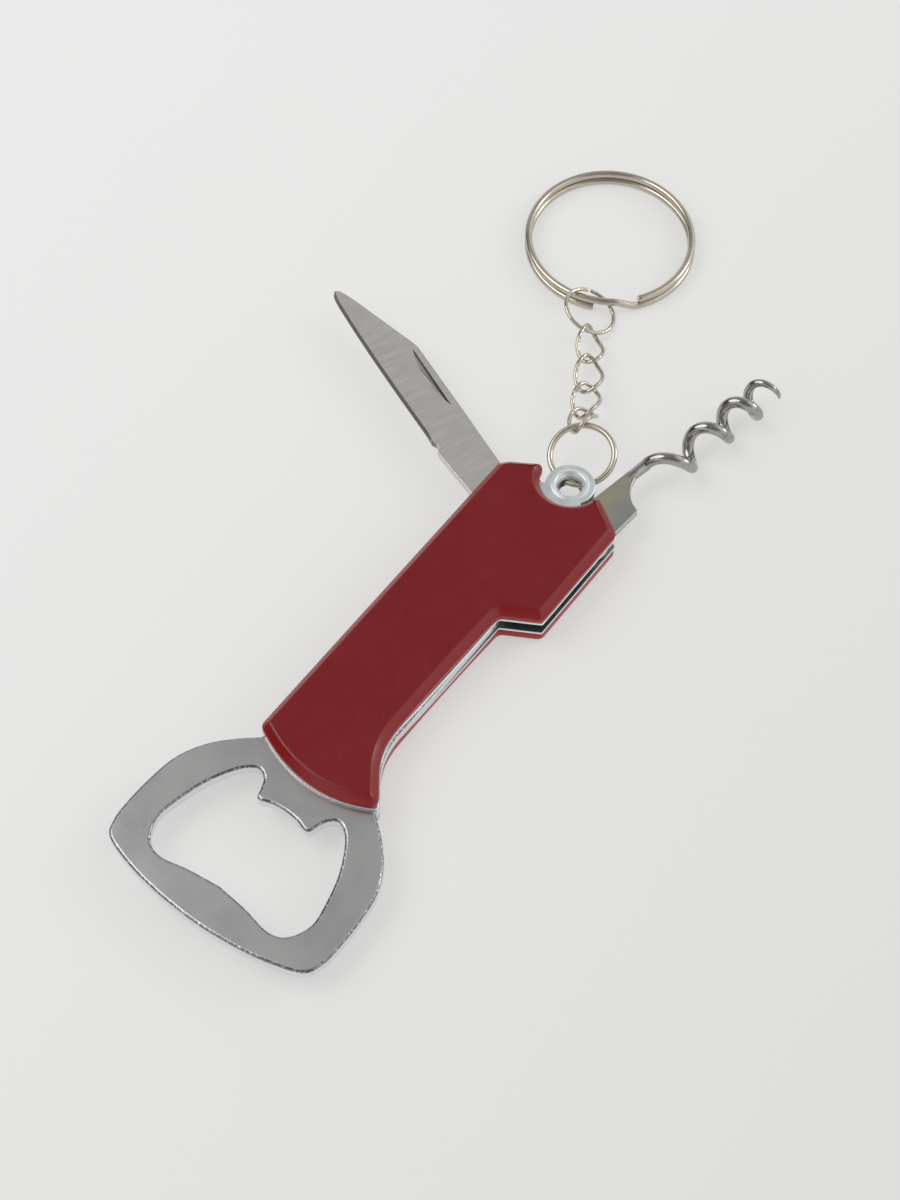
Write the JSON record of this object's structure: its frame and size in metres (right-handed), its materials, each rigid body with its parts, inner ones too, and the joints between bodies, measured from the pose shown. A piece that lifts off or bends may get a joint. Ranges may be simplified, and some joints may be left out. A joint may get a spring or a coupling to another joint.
{
  "type": "keychain bottle opener",
  "caption": "Folding pocket opener with a crown-cap head, swing-out blade and corkscrew in a waisted two-scale handle, hung by a short chain from a split key ring.",
  "frame": {"origin": "on the back scale's outer face, on the handle's centre line, 60.4 mm from the head's far edge", "axes": "+Z out of the front scale; +Y along the handle from the opener head towards the key ring; +X towards the corkscrew side"},
  "size_m": [0.0763, 0.1608, 0.0077],
  "materials": {
    "scales": "burgundy, polished, with small scuffs",
    "liners": "pale zinc-plated sheet, satin",
    "opener": "nickel-plated, tumbled satin with bright rims",
    "rivets": "plain steel",
    "washers": "plain bronze sheet",
    "blade": "fine satin grind with a polished edge bevel",
    "corkscrew": "polished wire on a satin grey tang",
    "wire": "warm nickel plate, bright, lightly worn"
  },
  "bodies": {
    "handle": {"front_scale": "scales", "back_scale": "scales", "front_liner": "liners", "back_liner": "liners", "opener_plate": "opener", "blade_rivet": "rivets", "corkscrew_rivet": "rivets", "body_rivet_1": "rivets", "body_rivet_2": "rivets", "body_rivet_3": "rivets", "front_eyelet": "liners", "back_eyelet": "liners", "lobe_pin": "rivets", "blade_washer_back": "washers", "blade_washer_front": "washers", "corkscrew_washer_back": "washers", "corkscrew_washer_front": "washers"},
    "blade": {"knife_blade": "blade"},
    "corkscrew": {"corkscrew": "corkscrew"},
    "eyelet_ring": {"eyelet_ring": "wire"},
    "chain_link_4": {"chain_link_4": "wire"},
    "chain_link_3": {"chain_link_3": "wire"},
    "chain_link_2": {"chain_link_2": "wire"},
    "chain_link_1": {"chain_link_1": "wire"},
    "jump_ring": {"jump_ring": "wire"},
    "key_ring": {"key_ring": "wire"}
  },
  "joints": [
    {"name": "blade_pivot", "type": "hinge", "parent": "handle", "child": "blade", "pos_m": [-0.00895, 0.0268, 0.00363], "axis": [0, 0, 1], "range_deg": [-20, 110]},
    {"name": "corkscrew_pivot", "type": "hinge", "parent": "handle", "child": "corkscrew", "pos_m": [0.008, 0.0268, 0.00363], "axis": [0, 0, 1], "range_deg": [-168.4, 2]},
    {"name": "eyelet_ring_swing", "type": "hinge", "parent": "handle", "child": "eyelet_ring", "pos_m": [-0.0005, 0.03675, 0.00363], "axis": [0, 0, 1], "range_deg": [-8, 8]},
    {"name": "chain_link_4_swing", "type": "hinge", "parent": "eyelet_ring", "child": "chain_link_4", "pos_m": [-0.00536, 0.04414, 0.0062], "axis": [0, 0, 1], "range_deg": [-5, 5]},
    {"name": "chain_link_3_swing", "type": "hinge", "parent": "chain_link_4", "child": "chain_link_3", "pos_m": [-0.00735, 0.0483, 0.0034], "axis": [0, 0, 1], "range_deg": [-6, 6]},
    {"name": "chain_link_2_swing", "type": "hinge", "parent": "chain_link_3", "child": "chain_link_2", "pos_m": [-0.01029, 0.05367, 0.0025], "axis": [0, 0, 1], "range_deg": [-6, 6]},
    {"name": "chain_link_1_swing", "type": "hinge", "parent": "chain_link_2", "child": "chain_link_1", "pos_m": [-0.0135, 0.0591, 0.0022], "axis": [0, 0, 1], "range_deg": [-6, 6]},
    {"name": "jump_ring_swing", "type": "hinge", "parent": "chain_link_1", "child": "jump_ring", "pos_m": [-0.01705, 0.0644, 0.0021], "axis": [0, 0, 1], "range_deg": [-6, 6]},
    {"name": "key_ring_lift", "type": "hinge", "parent": "jump_ring", "child": "key_ring", "pos_m": [-0.0206, 0.071, 0.0009], "axis": [0.9237, 0.3832, 0], "range_deg": [0, 50]}
  ]
}
